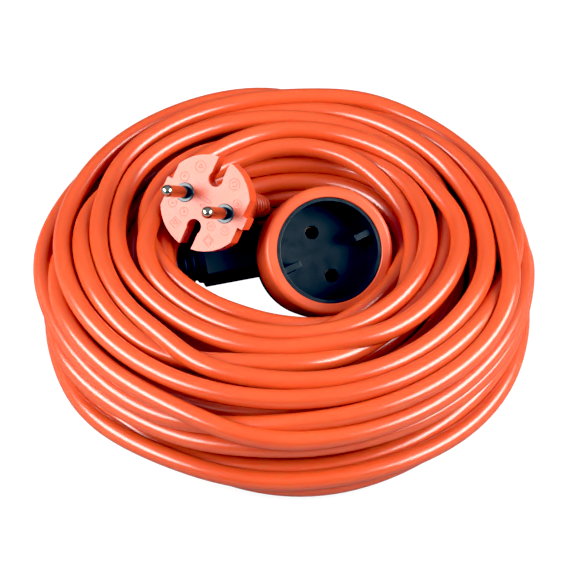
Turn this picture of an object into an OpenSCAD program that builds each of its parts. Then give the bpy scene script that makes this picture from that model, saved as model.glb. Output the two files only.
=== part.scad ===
// Two-pole extension cord: a hand-wound coil of round cable with a contour plug
// and an unearthed trailing socket lying in the hole of the coil.
// Millimetres, +Z up, the coil lies on Z = 0 and is centred on the origin.

/* [Cable] */
// Outer diameter of the cable sheath
cable_d = 7.5; // [6.5:0.5:9]
// Diameter of one insulated core
core_d = 3; // [2.5:0.25:3.5]
// Diameter of the stranded copper in a core
wire_d = 1.7; // [1.3:0.1:2]

/* [Coil] */
// Outside diameter of the wound coil
coil_outer_d = 194; // [180:2:240]
// Diameter of the hole in the middle of the coil
coil_inner_d = 94; // [88:2:110]
// Height of the coil
coil_h = 51; // [44:1:62]
// Rounding of the coil's section
coil_round = 13; // [6:1:18]

/* [Mains contacts] */
// Distance between the two pins, and between the two socket holes
pin_pitch = 19; // [16:0.5:23]
// Diameter of a pin
pin_d = 4.8; // [4:0.1:5.8]
// Length of a pin beyond the plug's face
pin_len = 19; // [16:0.5:23]

/* [Plug] */
// Diameter of the plug's face
plug_d = 38; // [36:0.5:46]
// Depth of the plug's straight rim behind its face
plug_rim = 7; // [6:0.5:12]
// Distance from the plug's middle to the flat on each side
plug_flat = 16.8; // [16:0.2:18]
// Width of the tongue in the middle of each flat
plug_tongue = 5; // [3:0.5:8]
// Width of the slot in the plug's rim
slot_w = 5.4; // [4:0.2:6]
// Diameter of the round end of the slot
slot_end_d = 6.2; // [6:0.2:7]
// Distance from the plug's middle to the round end's middle
slot_at = 10.4; // [10:0.1:12]
// Length of the plug's grip behind the rim
grip_len = 29; // [24:1:34]
// Thickness of the flat grip
grip_t = 13.4; // [11:0.2:14]
// Diameter of the collar around each pin
boss_d = 7.8; // [7:0.2:9]
// Height of those collars above the face
boss_proud = 0.5; // [0.2:0.1:1]

/* [Socket] */
// Diameter of the round recess
recess_d = 39; // [36:0.5:47]
// Depth of the round recess
recess_depth = 17; // [14:0.5:20]
// Wall of the black insert around the recess
insert_wall = 1.5; // [1.2:0.1:3]
// Floor of the black insert
insert_floor = 3; // [2:0.5:5]
// Wall of the collar around the insert
collar_wall = 4.5; // [3:0.5:6]
// How far the insert sits back from the collar's front
insert_back = 0.8; // [0.4:0.1:2]
// Diameter of each pin hole
hole_d = 5.2; // [5:0.1:6]
// Thickness of the two guide ribs in the recess
rib_t = 2.8; // [2:0.2:4]
// How far each guide rib reaches in from the wall
rib_in = 7; // [4:0.5:9]
// Depth of the rear housing behind the collar
rear_depth = 20; // [20:0.5:26]
// Wall of the rear housing
rear_wall = 3; // [2:0.5:4]
// Diameter of the side handle
handle_d = 21.6; // [19:0.2:26]
// Length of the side handle from the socket's middle
handle_len = 46; // [42:1:56]
// How far the handle sits to one side of the middle
handle_side = 7; // [5:0.5:9]

/* [Strain reliefs] */
// Length of each strain relief
relief_len = 20; // [16:1:30]
// Wall of a strain relief where the cable leaves it
relief_wall = 1.4; // [1:0.2:3]
// Number of grooves in a strain relief
relief_grooves = 5; // [3:1:7]

/* [Fits] */
// Radial gap between pieces that fit into each other
fit_gap = 0.05; // [0.02:0.01:0.2]

/* [Hidden] */
$fn = 96;

// Finishes
orange = [0.93, 0.35, 0.16];
black = [0.07, 0.08, 0.09];
grey_blue = [0.42, 0.5, 0.53];
nickel = [0.75, 0.74, 0.7];
brass = [0.78, 0.62, 0.3];
copper = [0.75, 0.42, 0.25];
brown = [0.36, 0.2, 0.12];
blue = [0.12, 0.32, 0.62];

// Where the plug's face is and how it is turned: tilt, turn about +Z, roll about its own axis
plug_at = [-32, 8, 60];
plug_tilt = 49.5;
plug_turn = -29;
plug_roll = -7;
// The same for the middle of the socket's front rim; the insert is rolled in the housing
socket_tilt = 42;
socket_turn = 15;
insert_roll = 14;

// Radii that several pieces share
cable_r = cable_d / 2;
core_r = core_d / 2;
wire_r = wire_d / 2;
pin_r = pin_d / 2;
boss_r = boss_d / 2;
relief_end_r = cable_r + relief_wall;

// Levels along the plug's axis, from the face backwards
bar_t = 3;                                    // the bar that joins the pin collars
bar_top = bar_t + 0.5 - plug_rim;             // the bar lies inside the rim
bar_rear = bar_top - bar_t;
pin_tail = 4.5;                               // the thin end of a pin, in its crimp
shank_r = pin_r - 0.5;                        // the pin inside its collar
tail_r = wire_r + 0.35;
crimp_len = 8.5;
crimp_wall = 0.8;
crimp_rear = bar_rear - fit_gap - crimp_len;
sheath_front = crimp_rear - 14;               // where the cable's sheath ends
grip_rear = -plug_rim - grip_len;
grip_end_r = cable_r + 3.6;
plug_relief_rear = grip_rear - relief_len;

// Levels along the socket's axis, from the collar's front rim backwards
floor_top = -recess_depth;
floor_rear = floor_top - insert_floor;
lip_t = 2;                                    // the collar's lip between insert and housing
collar_rear = floor_rear - lip_t;
recess_r = recess_d / 2;
insert_r = recess_r + insert_wall;
collar_in_r = insert_r + fit_gap;
collar_r = collar_in_r + collar_wall;
lip_r = insert_r - 2;
rear_r = collar_r - 1.5;
wider = rear_r - 24.05;        // a wider housing stands higher, and further from the plug
socket_at = [17 + 1.4 * wider, -2, 44 + wider * sin(socket_tilt)];
rear_end = collar_rear - rear_depth;
room_r = lip_r + 1;                           // the room inside the rear housing
room_end = rear_end + rear_wall;
sleeve_wall = 0.8;
sleeve_in_r = pin_d / 2 - 0.3;                 // sprung closed, so that it grips a pin
sleeve_rear = floor_rear - 9;
block_w = 7.4;
block_h = 7;
block_rear = sleeve_rear - block_h;
wire_z = sleeve_rear - block_h / 2;
screw_r = 1.4;
screw_head_r = 2.3;
screw_head_t = 1.6;
post_r = 3;
post_at = room_r - post_r - 1.5;              // distance of the housing screws from the middle
post_turn = 45;
post_rear = block_rear + 2;
post_screw_r = 1.5;
post_head_r = 2.5;
post_head_t = 2;

// The side handle and the cord clamp in it
handle_r = handle_d / 2;
handle_z = collar_rear - handle_r - 0.2 + 2;
clamp_w = 6;
clamp_from = -handle_len + 1.5;
socket_sheath_end = clamp_from + clamp_w + 2.5;
duct_r = cable_r + 3;
clamp_half = cable_r + 3.6;
clamp_t = 6;
clamp_screw_r = 1.1;
clamp_screw_head_r = 1.7;
clamp_screw_y = cable_r + 1.9;
clamp_screw_len = 9;
relief_start_r = handle_r - 1.6;
socket_relief_rear = -handle_len - relief_len;

// The two leads' routes: each starts straight out of its strain relief and ends in the coil
plug_lead_start = from_plug([0, 0, plug_relief_rear]);
plug_lead_route = concat(
    [plug_lead_start, from_plug([0, 0, plug_relief_rear - 4])],
    [[-7.5, 52, 17.5], [-4.5, 56.5, 14.5], [-0.5, 60.5, 12.5], [4, 64.5, 11.5], [9, 68, 11], [14.5, 70, 10.5],
     [20.5, 71.5, 10.5], [26.5, 71.5, 10.5], [32, 70.5, 10.5], [38, 69, 10.5], [43.5, 67, 10.5],
     [49, 64.5, 10.5], [54.5, 61.5, 10.5]]);
socket_lead_start = from_socket([socket_relief_rear, handle_side, handle_z]);
socket_lead_route = concat(
    [socket_lead_start, from_socket([socket_relief_rear - 4, handle_side, handle_z])],
    [[-63, 3, 25.5], [-68.5, 0.5, 25.5], [-73.5, -3, 25.5], [-77.5, -7.5, 25], [-81, -12.5, 24.5],
     [-82.5, -18, 24.5], [-83, -24, 24], [-82.5, -30, 24], [-81, -36, 24], [-78.5, -41.5, 24],
     [-75.5, -46.5, 24], [-72, -51.5, 24], [-68, -56, 24]]);
lead_sides = 12;
straight = 1;                                 // straight bit at each end of a core
tunnel_gap = 0.4;

// ---- helpers -------------------------------------------------------------

function unit(v) = v / norm(v);
function about_x(p, a) = [p.x, p.y * cos(a) - p.z * sin(a), p.y * sin(a) + p.z * cos(a)];
function about_z(p, a) = [p.x * cos(a) - p.y * sin(a), p.x * sin(a) + p.y * cos(a), p.z];
function ease(t) = t * t * (3 - 2 * t);
function heading(p, i) = unit(p[min(i + 1, len(p) - 1)] - p[max(i - 1, 0)]);
function ring(p, i, r, sides, up) =
    let (t = heading(p, i), a = unit(cross(t, up)), b = cross(a, t))
    [for (k = [0:sides - 1]) p[i] + r * (cos(360 * k / sides) * a + sin(360 * k / sides) * b)];

// A round tube swept along a list of points, with flat ends
module swept(p, r, sides, up) {
    n = len(p);
    rings = [for (i = [0:n - 1]) each ring(p, i, r, sides, up)];
    walls = [for (i = [0:n - 2], k = [0:sides - 1])
             let (a = i * sides + k, b = i * sides + (k + 1) % sides) [a, b, b + sides, a + sides]];
    first = [for (k = [0:sides - 1]) sides - 1 - k];
    last = [for (k = [0:sides - 1]) (n - 1) * sides + k];
    polyhedron(points = rings, faces = concat([first], walls, [last]), convexity = 6);
}

// Points of an arc in a section: middle, radius, first and last angle
function arc(c, r, from, to, n) =
    [for (i = [0:n]) c + r * [cos(from + (to - from) * i / n), sin(from + (to - from) * i / n)]];

// Places its children in the plug's own frame: +Z along the pins, the face at Z = 0
module in_plug() {
    translate(plug_at) rotate([plug_tilt, 0, plug_turn]) rotate([0, 0, plug_roll]) children();
}

// Places its children in the socket housing's frame: +Z out of the recess, the rim at Z = 0
module in_socket() {
    translate(socket_at) rotate([socket_tilt, 0, socket_turn]) children();
}

// The same for single points, in the row's frame
function from_plug(p) = plug_at + about_z(about_x(about_z(p, plug_roll), plug_tilt), plug_turn);
function from_socket(p) = socket_at + about_z(about_x(p, socket_tilt), socket_turn);

// The insert's frame: the pin holes lie on its Y axis
module in_insert() {
    in_socket() rotate([0, 0, insert_roll]) children();
}

// A tapered, grooved strain relief along -Z from Z = 0, bored for the cable
module strain_relief(start_r, end_r, length) {
    step = length / (relief_grooves + 1);
    groove = 0.9;
    outline = concat(
        [[cable_r + fit_gap, 0], [start_r, 0]],
        [for (i = [1:relief_grooves], q = [[-0.3, 0], [-0.22, -groove], [0.22, -groove], [0.3, 0]])
            let (z = (i + q.x) * step) [start_r + (end_r - start_r) * z / length + q.y, -z]],
        [[end_r, -length], [cable_r + fit_gap, -length]]);
    rotate_extrude() polygon(outline);
}

// ---- plug ----------------------------------------------------------------

module plug_outline() {
    difference() {
        intersection() {
            circle(d = plug_d);
            union() {
                square([2 * plug_flat, plug_d], center = true);
                square([plug_d, plug_tongue], center = true);
            }
        }
        for (side = [-1, 1]) {
            translate([0, side * slot_at]) circle(d = slot_end_d);
            translate([0, side * (slot_at + plug_d / 2)]) square([slot_w, plug_d], center = true);
        }
    }
}

module oval(width, thick) {
    resize([width, thick]) circle(d = width, $fn = 48);
}

module plug_grip() {
    wide = pin_pitch + 10;
    hull() {
        translate([0, 0, -plug_rim - 0.5]) linear_extrude(0.6) oval(wide, grip_t);
        translate([0, 0, crimp_rear]) linear_extrude(0.5) oval(wide - 1, grip_t);
        translate([0, 0, grip_rear]) cylinder(r = grip_end_r, h = 1, $fn = 32);
    }
}

module bridge_solid(grow) {
    for (side = [-1, 1]) {
        translate([side * pin_pitch / 2, 0, bar_top]) cylinder(r = boss_r + grow, h = boss_proud - bar_top);
    }
    translate([-pin_pitch / 2 - boss_r - grow, -boss_r - grow, bar_rear - grow])
        cube([pin_pitch + 2 * boss_r + 2 * grow, 2 * boss_r + 2 * grow, bar_t + grow]);
}

// From a crimp to the end of the sheath, straight at both ends
function plug_core_path(side) =
    let (near = side * pin_pitch / 2, far = side * (core_r + 0.1),
         top = crimp_rear - straight, low = sheath_front + straight)
    concat([[near, 0, crimp_rear]],
           [for (i = [0:8]) let (t = i / 8) [near + (far - near) * ease(t), 0, top + (low - top) * t]],
           [[far, 0, sheath_front]]);

module plug_core(side, grow) {
    swept(plug_core_path(side), core_r + grow, 12, [0, 1, 0]);
}

module plug_body() {
    color(orange) in_plug() difference() {
        union() {
            translate([0, 0, -plug_rim]) linear_extrude(plug_rim) plug_outline();
            plug_grip();
        }
        bridge_solid(fit_gap);
        for (side = [-1, 1]) {
            translate([side * pin_pitch / 2, 0, crimp_rear])
                cylinder(r = tail_r + crimp_wall + 2 * fit_gap, h = bar_rear - crimp_rear);
            plug_core(side, fit_gap);
        }
        translate([0, 0, grip_rear - 1]) cylinder(r = cable_r + fit_gap, h = sheath_front - grip_rear + 1);
    }
}

module plug_strain_relief() {
    color(orange) in_plug() translate([0, 0, grip_rear]) strain_relief(grip_end_r - 0.6, relief_end_r, relief_len);
}

module plug_pin_bridge() {
    color(grey_blue) in_plug() difference() {
        bridge_solid(0);
        for (side = [-1, 1]) {
            translate([side * pin_pitch / 2, 0, bar_rear - 1]) cylinder(r = shank_r + fit_gap, h = 20);
        }
    }
}

module plug_pin(side) {
    color(nickel) in_plug() translate([side * pin_pitch / 2, 0, 0]) {
        translate([0, 0, bar_rear]) cylinder(r = shank_r, h = boss_proud + fit_gap - bar_rear);
        translate([0, 0, boss_proud + fit_gap]) cylinder(r = pin_r, h = pin_len - pin_r - boss_proud - fit_gap);
        translate([0, 0, pin_len - pin_r]) sphere(r = pin_r);
        translate([0, 0, bar_rear - pin_tail]) cylinder(r = tail_r, h = pin_tail + 1);
    }
}

module plug_pin_live() plug_pin(-1);
module plug_pin_neutral() plug_pin(1);

module plug_crimp(side) {
    color(brass) in_plug() translate([side * pin_pitch / 2, 0, crimp_rear]) difference() {
        cylinder(r = tail_r + fit_gap + crimp_wall, h = crimp_len);
        translate([0, 0, -1]) cylinder(r = tail_r + fit_gap, h = crimp_len + 2);
    }
}

module plug_crimp_live() plug_crimp(-1);
module plug_crimp_neutral() plug_crimp(1);

module plug_wire(side) {
    color(copper) in_plug() translate([side * pin_pitch / 2, 0, crimp_rear])
        cylinder(r = wire_r, h = bar_rear - pin_tail - crimp_rear);
}

module plug_wire_live() plug_wire(-1);
module plug_wire_neutral() plug_wire(1);
module plug_core_brown() color(brown) in_plug() plug_core(-1, 0);
module plug_core_blue() color(blue) in_plug() plug_core(1, 0);

module plug_cable_end() {
    color(orange) in_plug() translate([0, 0, plug_relief_rear]) cylinder(r = cable_r, h = sheath_front - plug_relief_rear);
}

// ---- socket --------------------------------------------------------------

module socket_collar() {
    edge = 2;
    color(orange) in_socket() rotate_extrude() polygon(concat(
        [[collar_in_r, floor_rear], [collar_in_r, -0.4], [collar_in_r + 0.4, 0]],
        arc([collar_r - edge, -edge], edge, 90, 0, 8),
        [[collar_r, collar_rear + 3], [collar_r - 0.8, collar_rear], [lip_r, collar_rear], [lip_r, floor_rear]]));
}

module post_places() {
    for (turn = [post_turn, post_turn + 180]) {
        rotate([0, 0, turn]) translate([post_at, 0, 0]) children();
    }
}

module socket_insert() {
    color(black) in_insert() difference() {
        union() {
            difference() {
                translate([0, 0, floor_rear]) cylinder(r = insert_r, h = -floor_rear - insert_back);
                translate([0, 0, floor_top]) cylinder(r = recess_r, h = recess_depth + 1);
            }
            for (side = [-1, 1]) {
                intersection() {
                    translate([side * (recess_r - rib_in / 2), 0, floor_top / 2 - 2])
                        cube([rib_in + 1, rib_t, -floor_top - 4 + insert_back], center = true);
                    translate([0, 0, floor_rear]) cylinder(r = insert_r, h = -floor_rear - insert_back);
                }
            }
            post_places() translate([0, 0, post_rear]) cylinder(r = post_r, h = floor_rear - post_rear + 1);
        }
        for (side = [-1, 1]) {
            translate([0, side * pin_pitch / 2, floor_rear - 1]) cylinder(d = hole_d, h = insert_floor + 2);
        }
        post_places() translate([0, 0, post_rear - 1]) cylinder(r = post_screw_r + fit_gap, h = 9);
    }
}

// The housing's outside without the handle
module rear_shell(grow) {
    edge = 8.5;
    rotate_extrude() polygon(concat(
        [[0, collar_rear], [rear_r + grow, collar_rear]],
        arc([rear_r + grow - edge, rear_end - grow + edge], edge, 0, -90, 12),
        [[0, rear_end - grow]]));
}

// The room inside the housing
module rear_room() {
    edge = 5;
    rotate_extrude() polygon(concat(
        [[0, collar_rear + 1], [room_r, collar_rear + 1]],
        arc([room_r - edge, room_end + edge], edge, 0, -90, 8),
        [[0, room_end]]));
}

// Runs its children along the handle: their +Z points out of the housing, along -X
module along_handle(from) {
    translate([from, handle_side, handle_z]) rotate([0, -90, 0]) children();
}

module clamp_places() {
    for (side = [-1, 1]) {
        translate([clamp_from + clamp_w / 2, handle_side + side * clamp_screw_y, handle_z]) children();
    }
}

module socket_rear_housing() {
    color(black) in_socket() difference() {
        union() {
            difference() {
                union() {
                    rear_shell(0);
                    intersection() {
                        along_handle(0) cylinder(r = handle_r, h = handle_len);
                        translate([-100, -50, -100]) cube([200, 100, 100 + collar_rear]);
                    }
                }
                rear_room();
                along_handle(0) cylinder(r = duct_r, h = -socket_sheath_end);
            }
            rotate([0, 0, insert_roll]) post_places()
                translate([0, 0, rear_end + 1]) cylinder(r = post_r, h = post_rear - rear_end - 1);
        }
        along_handle(socket_sheath_end + 1) cylinder(r = cable_r + fit_gap, h = handle_len);
        translate([clamp_from - fit_gap, handle_side - clamp_half - fit_gap, handle_z - 20])
            cube([clamp_w + 2 * fit_gap, 2 * (clamp_half + fit_gap), 20]);
        clamp_places() cylinder(r = clamp_screw_r + fit_gap, h = clamp_screw_len - clamp_t);
        rotate([0, 0, insert_roll]) post_places() translate([0, 0, rear_end - 1]) {
            cylinder(r = post_screw_r + fit_gap, h = rear_depth);
            cylinder(r = post_head_r + fit_gap, h = post_head_t + 1);
        }
    }
}

module socket_housing_screws() {
    color(nickel) in_insert() post_places() translate([0, 0, rear_end]) difference() {
        union() {
            cylinder(r = post_head_r, h = post_head_t);
            cylinder(r = post_screw_r, h = post_rear - rear_end + 6);
        }
        translate([0, 0, 0.3]) cube([3.4, 0.7, 2], center = true);
        translate([0, 0, 0.3]) cube([0.7, 3.4, 2], center = true);
    }
}

module socket_contact(side) {
    color(brass) in_insert() translate([0, side * pin_pitch / 2, 0]) difference() {
        union() {
            translate([0, 0, sleeve_rear]) cylinder(r = sleeve_in_r + sleeve_wall, h = floor_rear - sleeve_rear);
            translate([-block_w / 2, -block_w / 2, block_rear]) cube([block_w, block_w, block_h]);
        }
        translate([0, 0, sleeve_rear]) cylinder(r = sleeve_in_r, h = 20);
        translate([screw_r, 0, wire_z]) rotate([0, -90, 0]) cylinder(r = wire_r + fit_gap, h = block_w);
        translate([0, 0, block_rear - 1]) cylinder(r = screw_r + fit_gap, h = wire_z - block_rear + 1);
    }
}

module socket_contact_live() socket_contact(-1);
module socket_contact_neutral() socket_contact(1);

module socket_terminal_screws() {
    color(nickel) in_insert() for (side = [-1, 1]) {
        translate([0, side * pin_pitch / 2, 0]) difference() {
            union() {
                translate([0, 0, block_rear]) cylinder(r = screw_r, h = wire_z - wire_r - block_rear);
                translate([0, 0, block_rear - screw_head_t]) cylinder(r = screw_head_r, h = screw_head_t);
            }
            translate([0, 0, block_rear - screw_head_t]) cube([2 * screw_head_r, 0.6, 1.4], center = true);
        }
    }
}

module socket_wire(side) {
    color(copper) in_insert() translate([-block_w / 2, side * pin_pitch / 2, wire_z]) rotate([0, 90, 0])
        cylinder(r = wire_r, h = block_w / 2 + screw_r);
}

module socket_wire_live() socket_wire(-1);
module socket_wire_neutral() socket_wire(1);

// From the end of the sheath in the handle to the side of a terminal block
function socket_core_path(side) =
    let (from = [socket_sheath_end, handle_side + side * (core_r + 0.1), handle_z],
         to = about_z([-block_w / 2, side * pin_pitch / 2, wire_z], insert_roll),
         bend = [1 - room_r, from.y, from.z],
         last = to - straight * about_z([1, 0, 0], insert_roll))
    concat([from], [for (i = [0:10]) let (t = i / 10)
        [bend.x + (last.x - bend.x) * t, bend.y + (last.y - bend.y) * ease(t),
         bend.z + (last.z - bend.z) * ease(t)]], [to]);

module socket_core(side) {
    swept(socket_core_path(side), core_r, 12, [0, 0, 1]);
}

module socket_core_brown() color(brown) in_socket() socket_core(-1);
module socket_core_blue() color(blue) in_socket() socket_core(1);

module socket_cord_clamp() {
    color(black) in_socket() difference() {
        translate([clamp_from, handle_side - clamp_half, handle_z - clamp_t]) cube([clamp_w, 2 * clamp_half, clamp_t]);
        along_handle(0) cylinder(r = cable_r + fit_gap, h = 2 * handle_len);
        clamp_places() translate([0, 0, -clamp_t - 1]) cylinder(r = clamp_screw_r + fit_gap, h = clamp_t + 2);
    }
}

module socket_clamp_screws() {
    color(nickel) in_socket() clamp_places() translate([0, 0, -clamp_t]) {
        cylinder(r = clamp_screw_r, h = clamp_screw_len);
        translate([0, 0, -1.2]) difference() {
            cylinder(r = clamp_screw_head_r, h = 1.2);
            cube([2 * clamp_screw_head_r, 0.5, 1], center = true);
        }
    }
}

module socket_strain_relief() {
    color(black) in_socket() along_handle(-handle_len) mirror([0, 0, 1])
        strain_relief(relief_start_r, relief_end_r, relief_len);
}

module socket_cable_end() {
    color(orange) in_socket() along_handle(socket_sheath_end)
        cylinder(r = cable_r, h = socket_sheath_end - socket_relief_rear);
}

// ---- cable ---------------------------------------------------------------

// The outer shape of the wound turns, with a tunnel where each lead and its relief go in
module cable_coil() {
    ri = coil_inner_d / 2;
    ro = coil_outer_d / 2;
    c = coil_round;
    color(orange) difference() {
        rotate_extrude() polygon(concat(
            arc([ri + c, coil_h - c], c, 180, 90, 8), arc([ro - c, coil_h - c], c, 90, 0, 8),
            arc([ro - c, c], c, 0, -90, 8), arc([ri + c, c], c, 270, 180, 8)));
        swept(plug_lead_route, cable_r + tunnel_gap, lead_sides, [0, 0, 1]);
        swept(socket_lead_route, cable_r + tunnel_gap, lead_sides, [0, 0, 1]);
        in_plug() translate([0, 0, plug_relief_rear - 0.5]) cylinder(r = grip_end_r + 1, h = relief_len + 12);
        in_socket() along_handle(-handle_len) cylinder(r = relief_start_r + 1, h = relief_len + 0.5);
        // the turns give way to a bigger plug or socket, and a plug in a higher coil nests in them
        in_plug() translate([0, 0, -plug_rim - 0.3]) cylinder(r = plug_d / 2 + 0.3, h = plug_rim + 0.6);
        in_plug() plug_grip();
        in_socket() rear_shell(0.3);
        in_socket() translate([0, 0, collar_rear - 0.3]) cylinder(r = collar_r + 0.3, h = 0.6 - collar_rear);
    }
}

module plug_lead() color(orange) swept(plug_lead_route, cable_r, lead_sides, [0, 0, 1]);
module socket_lead() color(orange) swept(socket_lead_route, cable_r, lead_sides, [0, 0, 1]);

plug_body();
plug_strain_relief();
plug_pin_bridge();
plug_pin_live();
plug_pin_neutral();
plug_crimp_live();
plug_crimp_neutral();
plug_wire_live();
plug_wire_neutral();
plug_core_brown();
plug_core_blue();
plug_cable_end();
socket_collar();
socket_insert();
socket_rear_housing();
socket_housing_screws();
socket_contact_live();
socket_contact_neutral();
socket_terminal_screws();
socket_wire_live();
socket_wire_neutral();
socket_core_brown();
socket_core_blue();
socket_cord_clamp();
socket_clamp_screws();
socket_strain_relief();
socket_cable_end();
cable_coil();
plug_lead();
socket_lead();
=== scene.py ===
# %% [markdown]
# # A round-wound extension cord
# The real object is fifteen metres of orange PVC cable, wound by hand into a ring,
# with a flat round plug and a trailing socket lying in the ring's hole. The CAD model
# gives every size and place; this lesson adds what the eye sees: each turn of the
# cable, moulded edges, and the finish of every piece. The frame is loaded first,
# because every later step takes its places from it.

# %% The frame
import math

import bmesh
import bpy
import numpy as np
from mathutils import Matrix, Vector


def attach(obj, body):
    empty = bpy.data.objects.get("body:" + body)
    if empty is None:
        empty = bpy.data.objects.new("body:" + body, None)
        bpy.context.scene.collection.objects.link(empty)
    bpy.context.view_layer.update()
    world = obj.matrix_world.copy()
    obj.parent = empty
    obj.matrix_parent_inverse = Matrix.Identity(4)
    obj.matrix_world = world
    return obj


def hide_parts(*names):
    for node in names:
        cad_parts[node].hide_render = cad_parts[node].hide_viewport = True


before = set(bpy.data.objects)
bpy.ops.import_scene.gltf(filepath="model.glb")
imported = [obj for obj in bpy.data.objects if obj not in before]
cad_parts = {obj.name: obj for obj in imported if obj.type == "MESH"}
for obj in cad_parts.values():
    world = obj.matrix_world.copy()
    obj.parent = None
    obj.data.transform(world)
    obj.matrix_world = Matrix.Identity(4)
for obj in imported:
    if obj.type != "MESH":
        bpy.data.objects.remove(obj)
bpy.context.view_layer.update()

# %% [markdown]
# ## The camera
# A product shot of a coil is taken from far away with a long lens, so that the ring
# keeps its shape. The camera stands in front and looks down at 44.5 degrees. It comes
# before the pieces, because the cord is checked against what the camera sees.

# %% Camera
AIM = Vector((0, 0, 0.022))
LOOK_DOWN = math.radians(44.5)
camera = bpy.data.objects.new("camera", bpy.data.cameras.new("camera"))
camera.data.lens = 150.8
camera.data.sensor_width = 36
camera.data.clip_end = 20
camera.location = AIM + 0.96 * Vector((0, -math.cos(LOOK_DOWN), math.sin(LOOK_DOWN)))
camera.rotation_euler = (math.pi / 2 - LOOK_DOWN, 0, 0)
bpy.context.scene.collection.objects.link(camera)
bpy.context.scene.camera = camera
print("camera at", [round(x, 3) for x in camera.location])

# %% [markdown]
# ## Where the turns lie
# A hand-wound coil is one cable that goes round about 33 times, and the turns sag and
# cross. A plain stack of rings would look like tyres, so a loop winds the cable instead.
# It fills the inside in rows, to and fro. Then it climbs the outside, goes over the top
# and comes down in the hole, and wanders to both sides on the way, as a hand does. The
# hole is wider at the back than at the front. A place is the distance of the cable's
# middle from the coil's middle and its height, in mm, and each turn has twelve places.

# %% Turns
CABLE_D = 7.5
PER_TURN = 12
ROW_GAP = 9
SKIN = np.array([(93.5, 5), (93.5, 36), (91, 44), (83, 47.5), (57, 47.5), (50, 45), (48, 36), (48, 8)], float)
SKIN_TURNS = 16
WANDER = ((3.8, 1.37, 0.2), (3.0, 0.72, 2.0), (1.0, 2.61, 1.0))      # how far, how often a turn, from where
HOLE_SHIFT = 9


def row(height, first, last):
    """Turns side by side at one height, from one distance to another."""
    return [(r, height) for r in np.linspace(first, last, round(abs(last - first) / ROW_GAP) + 1)]


def skin_place(turn):
    """A place on the coil's outside, after so many turns of going up, over and down."""
    along = np.r_[0, np.cumsum(np.linalg.norm(np.diff(SKIN, axis=0), axis=1))]
    at = along[-1] * turn / SKIN_TURNS
    at += sum(far * math.sin(2 * math.pi * often * turn + start) for far, often, start in WANDER)
    r, z = (np.interp(at, along, SKIN[:, axis]) for axis in (0, 1))
    inward = (SKIN[0, 0] - r) / (SKIN[0, 0] - SKIN[-1, 0]) * z / SKIN[:, 1].max()
    return r - HOLE_SHIFT * inward * math.cos(2 * math.pi * turn), z


rings_first = [(82, 22), (80, 29)] + row(36, 76, 58) + row(28, 55, 72) + row(20, 74, 57) + row(12, 55, 84)
rings_last = row(4, 52, 79)
skin = [skin_place(i / PER_TURN) for i in range(PER_TURN * SKIN_TURNS)]
planned = np.array([p for p in rings_first for _ in range(PER_TURN)] + skin
                   + [p for p in rings_last for _ in range(PER_TURN)] + rings_last[-1:], float)
turn_count = len(rings_first) + SKIN_TURNS + len(rings_last)
print(turn_count, "turns planned,", SKIN_TURNS, "of them on the outside")

# %% [markdown]
# ## The two leads
# The cable starts in the socket's handle and ends in the plug's grip. These first and
# last stretches are the routes that the CAD model sweeps, in the same millimetres.

# %% Leads
SOCKET_LEAD = np.array([
    (-53.47, 5.98, 25.65), (-57.33, 4.94, 25.65), (-63, 3, 25.5), (-68.5, 0.5, 25.5), (-73.5, -3, 25.5),
    (-77.5, -7.5, 25), (-81, -12.5, 24.5), (-82.5, -18, 24.5), (-83, -24, 24), (-82.5, -30, 24),
    (-81, -36, 24), (-78.5, -41.5, 24), (-75.5, -46.5, 24), (-72, -51.5, 24), (-68, -56, 24)])
PLUG_LEAD = np.array([
    (-11.36, 45.24, 23.63), (-9.88, 47.9, 21.03), (-7.5, 52, 17.5), (-4.5, 56.5, 14.5), (-0.5, 60.5, 12.5),
    (4, 64.5, 11.5), (9, 68, 11), (14.5, 70, 10.5), (20.5, 71.5, 10.5), (26.5, 71.5, 10.5), (32, 70.5, 10.5),
    (38, 69, 10.5), (43.5, 67, 10.5), (49, 64.5, 10.5), (54.5, 61.5, 10.5)])


def through(at, values, wanted):
    """A smooth curve through the values at those places, read off at the wanted places."""
    slope = np.gradient(values, at, axis=0)
    i = np.clip(np.searchsorted(at, wanted) - 1, 0, len(at) - 2)
    gap = (at[i + 1] - at[i])[:, None]
    t = (wanted - at[i])[:, None] / gap
    return ((2 * t**3 - 3 * t**2 + 1) * values[i] + (t**3 - 2 * t**2 + t) * gap * slope[i]
            + (3 * t**2 - 2 * t**3) * values[i + 1] + (t**3 - t**2) * gap * slope[i + 1])


def evenly(points, step):
    """The same curve with points that far apart."""
    along = np.r_[0, np.cumsum(np.linalg.norm(np.diff(points, axis=0), axis=1))]
    return through(along, points, np.linspace(0, along[-1], max(2, round(along[-1] / step) + 1)))


print("leads, mm:", [round(float(np.linalg.norm(np.diff(p, axis=0), axis=1).sum()))
                     for p in (SOCKET_LEAD, PLUG_LEAD)])

# %% [markdown]
# ## The places of plug and socket
# Both ends lie tilted in the hole. One matrix each takes a piece drawn flat in
# millimetres to where the CAD has it, in metres. The grip, the handle and the strain
# reliefs also keep the cable away, so each is noted as a row of balls.

# %% Places
def place(at, tilt, turn, roll):
    """From a piece's own millimetres to metres in the frame."""
    turned = (Matrix.Rotation(math.radians(turn), 4, "Z") @ Matrix.Rotation(math.radians(tilt), 4, "X")
              @ Matrix.Rotation(math.radians(roll), 4, "Z"))
    return Matrix.Scale(0.001, 4) @ Matrix.Translation(at) @ turned


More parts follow.
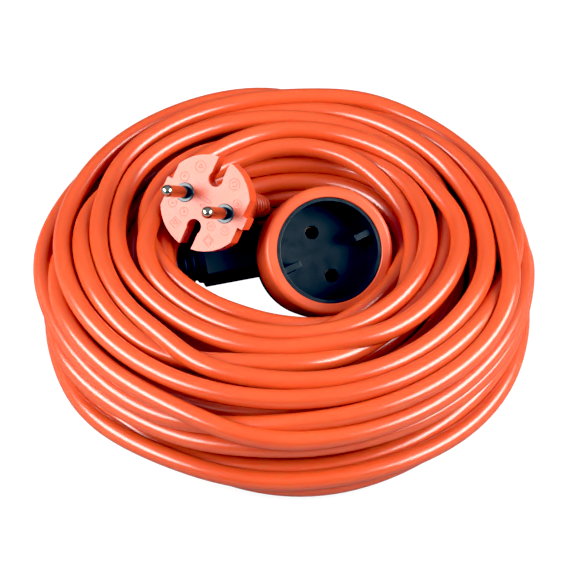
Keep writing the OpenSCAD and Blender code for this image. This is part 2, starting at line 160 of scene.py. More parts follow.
PLUG = place((-32, 8, 60), 49.5, -29, -7)
SOCKET = place((17, -2, 44), 42, 15, 0)
INSERT = place((17, -2, 44), 42, 15, 14)
HANDLE = SOCKET @ Matrix.Translation((0, 7, -31)) @ Matrix.Rotation(math.radians(-90), 4, "Y")
PLUG_REAR, HANDLE_LEN, RELIEF_LEN = -36, 46, 20
balls = [(PLUG @ Vector((0, 0, z)), 14.5 + (z + 11) * 0.284) for z in range(-36, -10, 3)]
balls += [(PLUG @ Vector((0, 0, PLUG_REAR - z)), 7.4 - 0.11 * z) for z in range(2, 21, 2)]
balls += [(HANDLE @ Vector((0, 0, z)), 10.8) for z in range(0, 46, 3)]
balls += [(HANDLE @ Vector((0, 0, HANDLE_LEN + z)), 9.2 - 0.2 * z) for z in range(0, 21, 2)]
balls = [(np.array(p) * 1000, r) for p, r in balls]
for lead in (SOCKET_LEAD, PLUG_LEAD):
    balls += [(p, CABLE_D / 2) for p in evenly(lead, 3)[:-1]]
print("handle ends at, mm:", [round(1000 * x, 2) for x in HANDLE @ Vector((0, 0, HANDLE_LEN + RELIEF_LEN))])

# %% [markdown]
# ## Winding
# The planned places are joined into one long line, with a point every five degrees.
# Its two ends ease over into the leads. At this stage some turns still cut into their
# neighbours, as when a coil is thrown down and hasn't settled yet.

# %% Winding
STEP = 5
outer = np.zeros(len(planned))
outer[PER_TURN * len(rings_first):PER_TURN * (turn_count - len(rings_last))] = 1
every_30 = 30.0 * np.arange(len(planned))
angle = np.arange(310.0, 360 * (turn_count - 1) + 135.1, STEP)
aim = through(every_30, planned, angle)
held = np.interp(angle, every_30, outer) > 0.5
from_start = np.arange(len(angle))
for lead, count in ((SOCKET_LEAD, from_start), (PLUG_LEAD, from_start[::-1])):
    ease = np.clip(1 - count / 10, 0, 1)[:, None]
    ease = ease * ease * (3 - 2 * ease)
    aim = aim * (1 - ease) + np.array([math.hypot(lead[-1, 0], lead[-1, 1]), lead[-1, 2]]) * ease
print(len(angle), "points,", int(held.sum()), "of them on the outside")

# %% [markdown]
# ## Settling
# All the points at one angle round the ring are a slice through the coil: discs that
# must not overlap. Each pass pushes touching discs apart, keeps the cable off the plug
# and the handle, and smooths it along its length, since PVC doesn't kink. The outer
# turns hold on to their places and the buried ones give way and sink. Some turns still
# press into each other where they cross. A rigid-body or soft-body simulation would take
# minutes for the same rest.

# %% Settling
away = np.radians(angle - 90)
out_x, out_y = np.cos(away), np.sin(away)
slice_of = np.round(angle / STEP).astype(int) % (360 // STEP)
slices = [np.where(slice_of == k)[0] for k in range(360 // STEP)]
deepest = max(len(s) for s in slices)
member = np.array([list(s) + [-1] * (deepest - len(s)) for s in slices])
real = member >= 0
member = np.where(real, member, 0)
pairs = real[:, :, None] & real[:, None, :] & ~np.eye(deepest, dtype=bool)[None]
yields = np.where(held, 0.35, 1.0)[member]
share = yields[:, :, None] / (yields[:, :, None] + yields[:, None, :])
ball_at, ball_r = np.array([p for p, r in balls]), np.array([r for p, r in balls])
pinned = np.zeros(len(angle), bool)
pinned[:2] = pinned[-2:] = True


def stiffen(line, much):
    """Takes short bends out of the line, as the cable's own stiffness does."""
    bend = np.zeros_like(line)
    bend[2:-2] = (-line[:-4] + 4 * line[1:-3] - 6 * line[2:-2] + 4 * line[3:-1] - line[4:]) / 16
    return line + much * bend * ~pinned[:, None]


def settle(line, passes):
    """Lets the coil come to rest."""
    for k in range(passes):
        move = np.zeros_like(line)
        at = line[member]
        gap = at[:, :, None] - at[:, None]
        far = np.sqrt((gap**2).sum(-1)) + 1e-9
        press = np.where(pairs, np.maximum(CABLE_D + 0.15 - far, 0), 0) * share / far
        np.add.at(move, member[real], 0.7 * (gap * press[..., None]).sum(2)[real])
        where = np.stack([line[:, 0] * out_x, line[:, 0] * out_y, line[:, 1]], 1)
        off = where[:, None] - ball_at[None]
        far = np.sqrt((off**2).sum(-1))
        press = np.maximum(ball_r + CABLE_D / 2 + 0.2 - far, 0)
        worst = press.argmax(1), np.arange(len(line))
        way = off[worst[1], worst[0]] / far[worst[1], worst[0]][:, None]
        way = np.stack([way[:, 0] * out_x + way[:, 1] * out_y, way[:, 2]], 1)
        move += 0.6 * way / (np.linalg.norm(way, axis=1)[:, None] + 0.3) * press[worst[1], worst[0]][:, None]
        move += (aim - line) * np.where(held, 0.1, 0.01)[:, None]
        move[:, 1] -= np.where(held, 0, 0.02)
        line = line + move * ~pinned[:, None]
        line = stiffen(stiffen(line, 0.9), 0.9)
        bend = np.zeros_like(line)
        bend[1:-1] = (line[:-2] + line[2:] - 2 * line[1:-1]) / 4
        line = line + bend * np.where(held, 0.3, 0.45)[:, None] * ~pinned[:, None]
        line = np.clip(line, (42, CABLE_D / 2), (98, 48.5))
    return line


rest = settle(aim, 400)
near = np.sqrt(((rest[member][:, :, None] - rest[member][:, None]) ** 2).sum(-1))
near = np.where(pairs, near, 99).min(2)[real]
print("closest turns, mm:", round(float(near.min()), 2))
print("share closer than 7.2 mm:", round(float((near < 7.2).mean()), 3))

# %% [markdown]
# ## The cable's line
# The settled points become places in space, the leads are put on at both ends, and the
# whole line is read off every 4 mm, fine enough to look round in the tightest turn.

# %% Line
coil_line = np.stack([rest[:, 0] * out_x, rest[:, 0] * out_y, rest[:, 1]], 1)
whole = np.vstack([SOCKET_LEAD[:-1], coil_line, PLUG_LEAD[::-1][1:]])
whole = evenly(whole, 4.0)
for _ in range(3):
    whole[2:-2] = (whole[1:-3] + 2 * whole[2:-2] + whole[3:-1]) / 4
whole = evenly(whole, 4.0)
CABLE_LEN = float(np.linalg.norm(np.diff(whole, axis=0), axis=1).sum()) / 1000


def bend_radii(points):
    """The bend's radius at each point, from the circle through it and those 8 mm to each side."""
    a, b, c = points[:-4], points[2:-2], points[4:]
    sides = [np.linalg.norm(q, axis=1) for q in (b - a, c - b, c - a)]
    area = np.linalg.norm(np.cross(b - a, c - a), axis=1) / 2 + 1e-9
    return sides[0] * sides[1] * sides[2] / (4 * area)


radii = bend_radii(whole)
print("cable:", round(CABLE_LEN, 3), "m on", len(whole), "points, tightest bend", round(float(radii.min()), 1), "mm")
for step in [4] * 60 + [2] * 100 + [1] * 100:      # long swings are evened first, then short ones
    tight = np.r_[False, False, np.convolve(bend_radii(whole) < 38, np.ones(21), "same") > 0.5, False, False]
    here, reach = slice(2 * step, -2 * step), len(whole) - 4 * step
    before2, before, after, after2 = [whole[q * step:q * step + reach] for q in (0, 1, 3, 4)]
    bend = (4 * (before + after) - before2 - after2 - 6 * whole[here]) / 16
    whole[here] += bend * tight[here, None]
whole[:, 2] = np.maximum(whole[:, 2], CABLE_D / 2)
radii = bend_radii(whole)
print("tightest bend once eased:", round(float(radii.min()), 1), "mm")

# %% [markdown]
# ## The cable as a tube
# A curve with a round bevel is the plainest way to a tube of constant thickness, and it
# brings a UV map that runs along the cable, which the finish needs. It is turned into a
# mesh at once, so that it renders and exports as one piece.

# %% Cable
line_data = bpy.data.curves.new("cable_line", "CURVE")
line_data.dimensions = "3D"
spline = line_data.splines.new("POLY")
spline.points.add(len(whole) - 1)
spline.points.foreach_set("co", np.c_[whole / 1000, np.ones(len(whole))].ravel())
line_data.bevel_depth = CABLE_D / 2000
line_data.bevel_resolution = 7
line_data.use_fill_caps = True
line_object = bpy.data.objects.new("cable_line", line_data)
bpy.context.scene.collection.objects.link(line_object)
cable_mesh = bpy.data.meshes.new_from_object(line_object.evaluated_get(bpy.context.evaluated_depsgraph_get()))
bpy.data.objects.remove(line_object)
cable = bpy.data.objects.new("cable", cable_mesh)
bpy.context.scene.collection.objects.link(cable)
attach(cable, "root")
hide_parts("cable_coil", "plug_lead", "socket_lead")
print("cable mesh:", len(cable_mesh.polygons), "faces, UV map:", cable_mesh.uv_layers[0].name)

# %% [markdown]
# ## Colours and nodes
# Colours are written as the hex values seen on a screen. Shaders calculate in linear
# light, so one function converts them. Another adds a node with its settings and links,
# and every material below is a short list of such lines.

# %% Helpers for materials
def linear(code):
    """A hex colour as linear red, green, blue and full opacity."""
    parts = [int(code[i:i + 2], 16) / 255 for i in (1, 3, 5)]
    return [c / 12.92 if c <= 0.04045 else ((c + 0.055) / 1.055) ** 2.4 for c in parts] + [1]


def node(material, kind, settings=None, links=None):
    """Adds a node. Settings are its properties or its inputs' values; links feed its inputs."""
    made = material.node_tree.nodes.new("ShaderNode" + kind)
    for name, value in (settings or {}).items():
        if isinstance(name, str) and hasattr(made, name):
            setattr(made, name, value)
        else:
            made.inputs[name].default_value = value
    for name, socket in (links or {}).items():
        material.node_tree.links.new(socket, made.inputs[name])
    return made


def empty_material(name):
    """A material with only an output in it."""
    material = bpy.data.materials.new(name)
    material.use_nodes = True
    material.node_tree.nodes.clear()
    return material


def finish_material(material, shader):
    """Puts the shader on the material's output."""
    node(material, "OutputMaterial", links={"Surface": shader.outputs[0]})
    return material


# %% [markdown]
# ## Soft orange PVC of the cable
# A cable's sheath is PVC pressed out of a round die while hot. It is glossy, with very
# fine lines along its length from the die and slow swells where it cooled. Both are in
# the UV map's terms: along the cable in metres, and round it. The colour drifts a
# little from place to place, as pigment does.

# %% Cable PVC
def cable_pvc():
    m = empty_material("glossy_extruded_pvc")
    uv = node(m, "UVMap", {"uv_map": "UVMap"})
    # one unit across the map is the 23.6 mm round the cable, one unit up it is all 15 m
    die = node(m, "Mapping", {"Scale": (1, 32, 1)}, {"Vector": uv.outputs["UV"]})
    place_ = node(m, "TexCoord")
    lines = node(m, "TexNoise", {"Scale": 40, "Detail": 2}, {"Vector": die.outputs[0]})
    swells = node(m, "TexNoise", {"Scale": 90, "Detail": 1}, {"Vector": place_.outputs["Object"]})
    drift = node(m, "TexNoise", {"Scale": 25, "Detail": 2}, {"Vector": place_.outputs["Object"]})
    colour = node(m, "ValToRGB", links={"Fac": drift.outputs["Fac"]})
    colour.color_ramp.elements[0].position, colour.color_ramp.elements[1].position = 0.3, 0.7
    colour.color_ramp.elements[0].color = linear("#ca5226")
    colour.color_ramp.elements[1].color = linear("#d2582a")
    rough = node(m, "MapRange", {"To Min": 0.2, "To Max": 0.29}, {"Value": drift.outputs["Fac"]})
    low = node(m, "Bump", {"Strength": 0.1, "Distance": 0.0006}, {"Height": swells.outputs["Fac"]})
    fine = node(m, "Bump", {"Strength": 0.06, "Distance": 0.0002},
                {"Height": lines.outputs["Fac"], "Normal": low.outputs[0]})
    # a row of small raised dashes, 100 mm of them in every 250 mm, stands for the rating marks
    across = node(m, "SeparateXYZ", links={"Vector": uv.outputs["UV"]})
    row = node(m, "Math", {"operation": "COMPARE", 1: 0.36, 2: 0.035}, {0: across.outputs["X"]})
    length = node(m, "Math", {"operation": "MULTIPLY", 1: 60}, {0: across.outputs["Y"]})
    part = node(m, "Math", {"operation": "FRACT"}, {0: length.outputs[0]})
    group = node(m, "Math", {"operation": "LESS_THAN", 1: 0.4}, {0: part.outputs[0]})
    spread = node(m, "Mapping", {"Scale": (18, 7000, 1)}, {"Vector": uv.outputs["UV"]})
    dashes = node(m, "TexNoise", {"Scale": 1, "Detail": 1}, {"Vector": spread.outputs[0]})
    raised = node(m, "Math", {"operation": "GREATER_THAN", 1: 0.5}, {0: dashes.outputs["Fac"]})
    banded = node(m, "Math", {"operation": "MULTIPLY"}, {0: row.outputs[0], 1: group.outputs[0]})
    marks_ = node(m, "Math", {"operation": "MULTIPLY"}, {0: banded.outputs[0], 1: raised.outputs[0]})
    bump = node(m, "Bump", {"Strength": 0.5, "Distance": 0.0003},
                {"Height": marks_.outputs[0], "Normal": fine.outputs[0]})
    shader = node(m, "BsdfPrincipled", {"IOR": 1.54, "Specular IOR Level": 0.8, "Subsurface Weight": 0.5,
                                        "Subsurface Radius": (1, 0.12, 0.04), "Subsurface Scale": 0.003},
                  {"Base Color": colour.outputs[0], "Roughness": rough.outputs[0], "Normal": bump.outputs[0]})
    return finish_material(m, shader)


CABLE_PVC = cable_pvc()
cable_mesh.materials.clear()
cable_mesh.materials.append(CABLE_PVC)
print("material:", CABLE_PVC.name)

# %% [markdown]
# ## Ways to shape a moulding
# Every moulded piece here is a turned form, a lofted form, or one of those with pieces
# cut out. So four helpers are enough: `spun` turns an outline round an axis, `rounded`
# bevels whatever edges are still sharp, `carved` cuts with the Boolean modifier, and
# `piece` takes a form drawn in its own millimetres to its place in the frame.

# %% Helpers for shapes
def arc(centre_r, centre_z, radius, start, end, steps=6):
    """Points of an outline's rounded corner, in degrees from the outward direction."""
    turns_ = [math.radians(start + (end - start) * i / steps) for i in range(steps + 1)]
    return [(centre_r + radius * math.cos(a), centre_z + radius * math.sin(a)) for a in turns_]


def spun(outline, steps=96, closed=False):
    """Turns an outline of (radius, height) once round the Z axis."""
    bm = bmesh.new()
    chain = [bm.verts.new((r, 0, z)) for r, z in outline]
    for a, b in zip(chain, chain[1:] + chain[:1] if closed else chain[1:]):
        bm.edges.new((a, b))
    bmesh.ops.spin(bm, geom=bm.verts[:] + bm.edges[:], cent=(0, 0, 0), axis=(0, 0, 1),
                   angle=2 * math.pi, steps=steps, use_merge=True)
    bmesh.ops.remove_doubles(bm, verts=bm.verts, dist=0.001)
    bmesh.ops.recalc_face_normals(bm, faces=bm.faces)
    return bm


def rounded(bm, width, steps=3, angle=35):
    """Bevels every edge that turns more sharply than the angle."""
    sharp = [e for e in bm.edges if len(e.link_faces) == 2 and e.calc_face_angle() > math.radians(angle)]
    bmesh.ops.bevel(bm, geom=sharp, offset=width, offset_type="OFFSET", segments=steps, profile=0.5,
                    affect="EDGES", clamp_overlap=True, material=-1)
    return bm


def box(low, high):
    """A block between two corners."""
    bm = bmesh.new()
    bmesh.ops.create_cube(bm, size=1)
    bmesh.ops.scale(bm, vec=[h - l for l, h in zip(low, high)], verts=bm.verts)
    bmesh.ops.translate(bm, vec=[(h + l) / 2 for l, h in zip(low, high)], verts=bm.verts)
    return bm


def rod(x, y, low, high, radius, steps=48):
    """An upright round rod."""
    bm = bmesh.new()
    bmesh.ops.create_cone(bm, cap_ends=True, segments=steps, radius1=radius, radius2=radius, depth=high - low)
    bmesh.ops.translate(bm, vec=(x, y, (low + high) / 2), verts=bm.verts)
    return bm


def carved(bm, cutters):
    """Cuts the cutters, in turn, out of a solid."""
    solids = []
    for shape in [bm] + cutters:
        mesh = bpy.data.meshes.new("cutting")
        shape.to_mesh(mesh)
        shape.free()
        solids.append(bpy.data.objects.new("cutting", mesh))
        bpy.context.scene.collection.objects.link(solids[-1])
    for cutter in solids[1:]:
        cut = solids[0].modifiers.new("cut", "BOOLEAN")
        cut.operation, cut.solver, cut.object = "DIFFERENCE", "EXACT", cutter
    left = bpy.data.meshes.new_from_object(solids[0].evaluated_get(bpy.context.evaluated_depsgraph_get()))
    for solid in solids:
        bpy.data.objects.remove(solid)
    result = bmesh.new()
    result.from_mesh(left)
    bmesh.ops.remove_doubles(result, verts=result.verts, dist=0.001)
    bmesh.ops.dissolve_limit(result, angle_limit=math.radians(0.5), verts=result.verts, edges=result.edges)
    return result


def joined(shapes):
    """Several forms as one."""
    whole_ = bmesh.new()
    for shape in shapes:
        mesh = bpy.data.meshes.new("part")
        shape.to_mesh(mesh)
        shape.free()
        whole_.from_mesh(mesh)
        bpy.data.meshes.remove(mesh)
    return whole_


def piece(name, bm, where, material, slot, *stands_for):
    """Finishes a form drawn in millimetres: placed, smooth but for its sharp edges, and hung under the root in place
    of the CAD pieces it stands for.
    """
    bmesh.ops.transform(bm, matrix=where, verts=bm.verts)
    mesh = bpy.data.meshes.new(name)
    bm.to_mesh(mesh)
    bm.free()
    mesh.shade_smooth()
    mesh.set_sharp_from_angle(angle=math.radians(32))
    mesh.materials.append(material)
    made = bpy.data.objects.new(name, mesh)
    bpy.context.scene.collection.objects.link(made)
    level = made.modifiers.new("flat_areas_stay_flat", "WEIGHTED_NORMAL")
    level.keep_sharp = True
    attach(made, "root")
    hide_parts(*stands_for)
    print(name, "-", len(mesh.polygons), "faces")
    return made


# %% [markdown]
# ## Moulded orange PVC of the plug
# The plug is injection-moulded over its pins in the same orange PVC, but in a steel
# mould with a fine spark-eroded grain. So it is a little rougher than the cable, which
# spreads a soft light over the whole face as a pale veil.

# %% Plug and collar materials
def moulded_orange(name, low, high, smooth, rough_, grain):
    m = empty_material(name)
    place_ = node(m, "TexCoord")
    drift = node(m, "TexNoise", {"Scale": 120, "Detail": 3}, {"Vector": place_.outputs["Object"]})
    colour = node(m, "ValToRGB", links={"Fac": drift.outputs["Fac"]})
    colour.color_ramp.elements[0].position, colour.color_ramp.elements[1].position = 0.3, 0.7
    colour.color_ramp.elements[0].color, colour.color_ramp.elements[1].color = linear(low), linear(high)
    # spark-eroded grain is about 0.1 mm; it is drawn three times as coarse to show
    pits = node(m, "TexNoise", {"Scale": 3200, "Detail": 2}, {"Vector": place_.outputs["Object"]})
    rough = node(m, "MapRange", {"To Min": smooth, "To Max": rough_}, {"Value": drift.outputs["Fac"]})
    bump = node(m, "Bump", {"Strength": grain, "Distance": 0.0001}, {"Height": pits.outputs["Fac"]})
    shader = node(m, "BsdfPrincipled", {"IOR": 1.54},
                  {"Base Color": colour.outputs[0], "Roughness": rough.outputs[0], "Normal": bump.outputs[0]})
    return finish_material(m, shader)


PLUG_PVC = moulded_orange("spark_grained_plug_pvc", "#cd5029", "#d4572e", 0.22, 0.34, 0.12)
COLLAR_ABS = moulded_orange("satin_orange_collar_abs", "#d05329", "#d75a2e", 0.34, 0.44, 0.1)
print("materials:", PLUG_PVC.name, COLLAR_ABS.name)

# %% [markdown]
# ## The plug's moulding
# A contour plug is a thick disc with a flat and a tongue at each side, and two keyhole
# slots. The disc is a plain rod, and the flats and slots are cut out of it, as they
# are in the mould's steel. Then every edge gets its moulded rounding, and behind the
# disc rings of an oval are bridged into the grip that narrows to the cable.

# %% Plug moulding
RIM = 7
disc = rod(0, 0, -RIM, 0, 19, 144)
corners = [box((x - 10, y - 10, -RIM - 1), (x + 10, y + 10, 1)) for x in (-26.8, 26.8) for y in (-12.5, 12.5)]
slots = [box((-2.7, y - 5, -RIM - 1), (2.7, y + 5, 1)) for y in (-16.9, 16.9)]
ends = [rod(0, y, -RIM - 1, 1, 3.1) for y in (-10.4, 10.4)]
disc = rounded(carved(disc, corners + slots + ends), 0.45)

grip = bmesh.new()
last = None
for z, wide, thick in ((-RIM + 0.5, 14.5, 6.7), (-12, 14.5, 6.7), (-17, 14.3, 6.7), (-22, 13.2, 6.75),
                       (-27, 11.4, 6.85), (-31, 9.7, 7.0), (-34, 8.2, 7.2), (-35.4, 7.4, 7.25), (-36, 6.9, 6.9)):
    ring = bmesh.ops.create_circle(grip, cap_ends=z == -36, segments=64, radius=1)["verts"]
    bmesh.ops.scale(grip, vec=(wide, thick, 1), verts=ring)
    bmesh.ops.translate(grip, vec=(0, 0, z), verts=ring)
    edges = list({e for v in ring for e in v.link_edges if e.other_vert(v) in ring})
    if last:
        bmesh.ops.bridge_loops(grip, edges=last + edges)
    last = edges
bmesh.ops.recalc_face_normals(grip, faces=grip.faces)
print("disc and grip:", len(disc.faces), len(grip.faces), "faces")

# %% [markdown]
# ## Marks on the plug's face
# A mould leaves small raised marks on the face of every mains plug. They catch the
# light at their edges only. Here they are plain rings, tiles and a bar: each is a low
# cone with its top set back in, so that only a thin raised line stays.

# %% Plug marks
def mark(x, y, radius, sides, turn, stretch=1.0):
    """A thin raised outline on the plug's face."""
    bm = bmesh.new()
    bmesh.ops.create_cone(bm, cap_ends=True, segments=sides, radius1=radius + 0.1, radius2=radius, depth=0.3)
    top = [f for f in bm.faces if f.normal.z > 0.9]
    for width_, depth_ in ((0.22, 0), (0.12, -0.14)):
        bmesh.ops.inset_region(bm, faces=top, thickness=width_, depth=depth_, use_even_offset=True)
    bmesh.ops.scale(bm, vec=(stretch, 1, 1), verts=bm.verts)
    bmesh.ops.rotate(bm, cent=(0, 0, 0), matrix=Matrix.Rotation(math.radians(turn), 3, "Z"), verts=bm.verts)
    bmesh.ops.translate(bm, vec=(x, y, -0.02), verts=bm.verts)
    return bm


marks = [mark(0, 1.2, 0.9, 24, 0, 3.0), mark(0, -1.4, 0.8, 24, 0, 2.2)]
for side in (-1, 1):
    for x, y, radius, sides in ((8, 12, 2.4, 32), (12.5, 5.5, 2, 28), (12.5, -6, 1.9, 28),
                                (6.5, -7, 1.9, 28), (8, -12.5, 2.6, 4)):
        marks += [mark(side * x, y, radius, sides, 25), mark(side * x, y, radius - 1, 4 + side, 25)]
plug_moulding = piece("plug_moulding", joined([disc, grip] + marks), PLUG, PLUG_PVC, "plug_pvc", "plug_body")

# %% [markdown]
# ## Strain reliefs
# Where a cable leaves a moulding, a tapered sleeve with grooves keeps it from bending
# sharply. Its outline steps in at each groove on the way down, and is turned once.

# %% Strain reliefs
def relief_outline(wide, narrow, grooves=5, deep=0.9):
    """The sleeve's outline from its thick end at 0 to its thin end."""
    step_ = RELIEF_LEN / (grooves + 1)
    outline = [(0, 0), (wide - 0.3, 0), (wide, -0.3)]
    for i in range(1, grooves + 1):
        for dz, dr in ((-0.34, 0), (-0.27, -0.16), (-0.2, -deep), (0.2, -deep), (0.27, -0.16), (0.34, 0)):
            z = (i + dz) * step_
            outline.append((wide + (narrow - wide) * z / RELIEF_LEN + dr, -z))
    return outline + [(narrow, 0.4 - RELIEF_LEN), (narrow - 0.4, -RELIEF_LEN), (CABLE_D / 2, -RELIEF_LEN)]


plug_relief = piece("plug_relief", spun(relief_outline(6.75, 5.15), 64),
                    PLUG @ Matrix.Translation((0, 0, PLUG_REAR)), PLUG_PVC, "plug_pvc", "plug_strain_relief")

# %% [markdown]
# ## Pins and their collars
# The pins are turned from brass and nickel-plated, with a round tip, and each stands in
# a collar of hard dark plastic that joins a bar inside the moulding. Polished metal
# shows the room round it, so it needs no colour of its own. The collars are smooth
# and dark, and look blue-grey only where a soft light is mirrored in them.

# %% Pins
def plain_finish(name, colour, settings, scale, rough_, strength, far=0.0001):
    """A finish with fine unevenness: its roughness and its surface both follow one noise."""
    m = empty_material(name)
    place_ = node(m, "TexCoord")
    uneven = node(m, "TexNoise", {"Scale": scale, "Detail": 3}, {"Vector": place_.outputs["Object"]})
    rough = node(m, "MapRange", {"To Min": rough_[0], "To Max": rough_[1]}, {"Value": uneven.outputs["Fac"]})
    bump = node(m, "Bump", {"Strength": strength, "Distance": far}, {"Height": uneven.outputs["Fac"]})
    shader = node(m, "BsdfPrincipled", {"Base Color": linear(colour), **settings},
                  {"Roughness": rough.outputs[0], "Normal": bump.outputs[0]})
    return finish_material(m, shader)


NICKEL = plain_finish("polished_nickel_plate", "#c6c4b4", {"Metallic": 1.0}, 900, (0.08, 0.16), 0.03)
COLLAR_NYLON = plain_finish("dark_blue_grey_nylon", "#1a333b", {"IOR": 1.53}, 700, (0.16, 0.26), 0.05)
collars = []
for side in (-9.5, 9.5):
    ring = spun([(0, 0.2), (2.35, 0.2), (2.5, 0.3), (2.6, 0.5)] + arc(3.6, 0.2, 0.3, 90, 0)
                + [(3.9, -3.6), (0, -3.6)], 64)
    bmesh.ops.translate(ring, vec=(side, 0, 0), verts=ring.verts)
    collars.append(ring)
collars.append(rounded(box((-13.4, -3.9, -6.5), (13.4, 3.9, -3.5)), 0.3))
pin_bridge = piece("pin_collars", joined(collars), PLUG, COLLAR_NYLON, "pin_collar", "plug_pin_bridge")
for side, name in ((-9.5, "live"), (9.5, "neutral")):
    pin = spun([(0, -11), (1.15, -11), (1.25, -10.9), (1.25, -6.6), (1.9, -6.5), (1.9, 0.5), (2.3, 0.56), (2.4, 0.7)]
               + arc(0, 16.6, 2.4, 0, 90, 14), 64)
    bmesh.ops.translate(pin, vec=(side, 0, 0), verts=pin.verts)
    piece("pin_" + name, pin, PLUG, NICKEL, "pin_metal", "plug_pin_" + name)

# %% [markdown]
# ## The socket's collar
# The round frame of the socket is a separate orange ring, with a rounded outer edge and
# a lip behind that holds the black insert. It is a closed outline, turned once.

# %% Socket collar
collar_outline = ([(21.05, -0.25), (21.3, 0)] + arc(23.65, -1.9, 1.9, 90, 0, 8)
                  + [(25.55, -21.6), (25.15, -22), (19, -22), (19, -20), (21.05, -20)])
socket_ring = piece("socket_ring", spun(collar_outline, 144, closed=True), SOCKET, COLLAR_ABS,
                    "socket_orange", "socket_collar")

# %% [markdown]
# ## Black parts of the socket
# The insert and the rear housing have ribs, posts, screw seats and a hollow inside, and
# the CAD has all of them. What it lacks is the moulded rounding of the edges. So each
# is a copy of the CAD piece: its loose triangles are merged, flat areas become single
# faces, and then its sharp edges are bevelled.

# %% Black plastic
def black_plastic():
    """Moulded polypropylene: dark, with a fine grain that turns grey where light grazes it, and dust."""
    m = empty_material("grained_black_polypropylene")
    place_ = node(m, "TexCoord")
    grain = node(m, "TexNoise", {"Scale": 1500, "Detail": 3, "Roughness": 0.6}, {"Vector": place_.outputs["Object"]})
    patches = node(m, "TexNoise", {"Scale": 160, "Detail": 4, "Roughness": 0.65}, {"Vector": place_.outputs["Object"]})
    colour = node(m, "ValToRGB", links={"Fac": patches.outputs["Fac"]})
    colour.color_ramp.elements[0].position, colour.color_ramp.elements[1].position = 0.35, 0.75
    colour.color_ramp.elements[0].color, colour.color_ramp.elements[1].color = linear("#081618"), linear("#12252a")
    rough = node(m, "MapRange", {"From Min": 0.3, "From Max": 0.7, "To Min": 0.3, "To Max": 0.5},
                 {"Value": patches.outputs["Fac"]})
    bump = node(m, "Bump", {"Strength": 0.35, "Distance": 0.0001}, {"Height": grain.outputs["Fac"]})
    shader = node(m, "BsdfPrincipled", {"IOR": 1.5},
                  {"Base Color": colour.outputs[0], "Roughness": rough.outputs[0], "Normal": bump.outputs[0]})
    return finish_material(m, shader)


BLACK = black_plastic()


def softened(node_name, width):
    """A copy of a CAD piece, in its own millimetres, with its sharp edges bevelled."""
    bm = bmesh.new()
    bm.from_mesh(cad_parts[node_name].data)
    bmesh.ops.scale(bm, vec=(1000, 1000, 1000), verts=bm.verts)
    bmesh.ops.remove_doubles(bm, verts=bm.verts, dist=0.002)
    bmesh.ops.dissolve_limit(bm, angle_limit=math.radians(1), verts=bm.verts, edges=bm.edges)
    return rounded(bm, width, 2, 40)


MM = Matrix.Scale(0.001, 4)
insert = piece("socket_face", softened("socket_insert", 0.25), MM, BLACK, "socket_black", "socket_insert")
housing = piece("socket_housing", softened("socket_rear_housing", 0.4), MM, BLACK,
                "socket_black", "socket_rear_housing")
socket_relief = piece("socket_relief", spun(relief_outline(9.2, 5.15), 64),
                      HANDLE @ Matrix.Translation((0, 0, HANDLE_LEN)) @ Matrix.Rotation(math.pi, 4, "X"),
                      BLACK, "socket_black", "socket_strain_relief")

# %% [markdown]
# ## Inner pieces
# Inside plug and socket are the stripped cores, the crimps, the spring contacts and the
# screws. The CAD pieces have the right shape already, so each just gets its finish:
# dulled contact bronze, bare copper, coloured insulation and zinc-plated steel.

# %% Inner finishes
BRASS = plain_finish("dulled_contact_bronze", "#6e5a3a", {"Metallic": 1.0}, 1200, (0.35, 0.55), 0.1)
COPPER = plain_finish("bare_stranded_copper", "#c87a52", {"Metallic": 1.0}, 2600, (0.28, 0.42), 0.5)
BROWN = plain_finish("brown_core_insulation", "#4a2a18", {"IOR": 1.54}, 800, (0.3, 0.42), 0.08)
BLUE = plain_finish("blue_core_insulation", "#1f5fae", {"IOR": 1.54}, 800, (0.3, 0.42), 0.08)
ZINC = plain_finish("zinc_plated_steel", "#aeb2b4", {"Metallic": 1.0}, 1500, (0.25, 0.45), 0.12)
finishes = {
    BRASS: ["plug_crimp_live", "plug_crimp_neutral", "socket_contact_live", "socket_contact_neutral"],
    COPPER: ["plug_wire_live", "plug_wire_neutral", "socket_wire_live", "socket_wire_neutral"],
    BROWN: ["plug_core_brown", "socket_core_brown"],
    BLUE: ["plug_core_blue", "socket_core_blue"],
    ZINC: ["socket_housing_screws", "socket_terminal_screws", "socket_clamp_screws"],
    BLACK: ["socket_cord_clamp"],
    CABLE_PVC: ["plug_cable_end", "socket_cable_end"],
}
for finish_, names in finishes.items():
    for name in names:
        for material_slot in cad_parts[name].material_slots:
            material_slot.material = finish_
print(sum(len(n) for n in finishes.values()), "inner pieces finished")

# %% [markdown]
# ## Lights and floor
# The coil stands on a white floor between two large soft lights, low at the left and the
# right. They give the long pale streaks on the turns and the washed look of the plug's
# face. The sky is dim at the horizon and brighter overhead, so black plastic stays deep.
# The floor glows for the camera only: it looks pure white, with a grey shade close to the
# coil, and yet throws little light up at it. Inside the ring's hole the glow is stronger,
# a painted light that lifts the shade on the floor there. The view's black level deepens the shadows.

# %% Lights and floor
def softbox(name, azimuth, elevation, distance, wide, tall, strength):
    """A large rectangular light that faces the coil."""
    area = bpy.data.lights.new(name, "AREA")
    area.shape = "RECTANGLE"
    area.size, area.size_y = wide, tall
    area.energy = strength * math.pi * wide * tall
    lamp = bpy.data.objects.new(name, area)
    a, e = math.radians(azimuth), math.radians(elevation)
    way = Vector((math.cos(a) * math.cos(e), math.sin(a) * math.cos(e), math.sin(e)))
    lamp.location = AIM + distance * way
    lamp.rotation_euler = way.to_track_quat("Z", "Y").to_euler()
    bpy.context.scene.collection.objects.link(lamp)
    return lamp


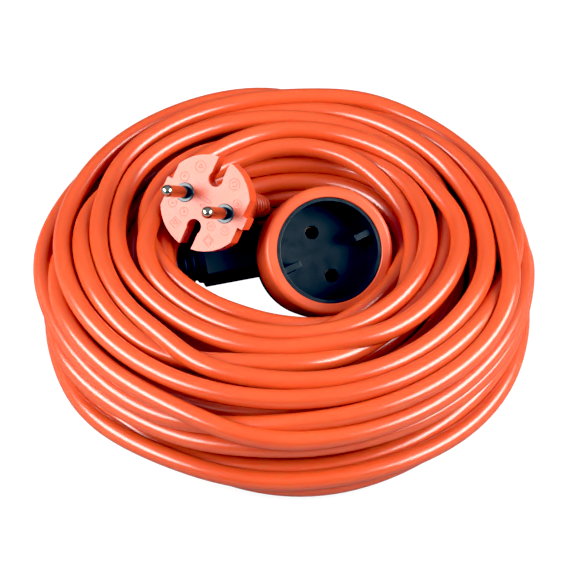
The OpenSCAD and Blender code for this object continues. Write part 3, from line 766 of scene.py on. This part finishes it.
softbox("softbox_left", 197, 31, 1.1, 1.15, 0.5, 12)
softbox("softbox_right", -14, 31, 1.1, 1.15, 0.5, 12)
world = bpy.data.worlds.new("studio")
bpy.context.scene.world = world
world.use_nodes = True
sky = world.node_tree.nodes["Background"]
sky.inputs["Color"].default_value = linear("#f2f5f8")
way_up = node(world, "TexCoord")
split = node(world, "SeparateXYZ", links={"Vector": way_up.outputs["Generated"]})
height = node(world, "MapRange", {"interpolation_type": "SMOOTHSTEP", "From Min": 0.1, "From Max": 1.0,
                                  "To Min": 0.08, "To Max": 0.36}, {"Value": split.outputs["Z"]})
world.node_tree.links.new(height.outputs[0], sky.inputs["Strength"])
bm = bmesh.new()
bmesh.ops.create_grid(bm, x_segments=2, y_segments=2, size=3)
floor_mesh = bpy.data.meshes.new("floor")
bm.to_mesh(floor_mesh)
bm.free()
floor = bpy.data.objects.new("floor", floor_mesh)
bpy.context.scene.collection.objects.link(floor)
paper = empty_material("white_floor_with_painted_hole_light")
centre = node(paper, "TexCoord")
ring_r = node(paper, "Mapping", {"Scale": (1 / 0.075, 1 / 0.075, 1)}, {"Vector": centre.outputs["Object"]})
# painted light: the glow rises from 0.8 to 1.1 within 45 mm of the middle, so the shaded floor in the ring's hole
# looks white
hole_light_mask = node(paper, "TexGradient", {"gradient_type": "SPHERICAL"}, {"Vector": ring_r.outputs[0]})
seen = node(paper, "LightPath")
painted_hole_light = node(paper, "MapRange", {"From Min": 0.1, "From Max": 0.4, "To Min": 0.8, "To Max": 1.1},
           {"Value": hole_light_mask.outputs["Fac"]})
glow = node(paper, "Math", {"operation": "MULTIPLY"}, {0: painted_hole_light.outputs[0], 1: seen.outputs["Is Camera Ray"]})
floor_mesh.materials.append(finish_material(paper, node(
    paper, "BsdfPrincipled", {"Base Color": linear("#8c8c8c"), "Roughness": 0.8, "Specular IOR Level": 0.2,
                              "Emission Color": (1, 1, 1, 1)}, {"Emission Strength": glow.outputs[0]})))
view = bpy.context.scene.view_settings
view.view_transform = "Standard"
view.use_curve_mapping = True
view.curve_mapping.black_level = (0.033, 0.024, 0.01)
view.curve_mapping.update()
print("two softboxes and a floor")
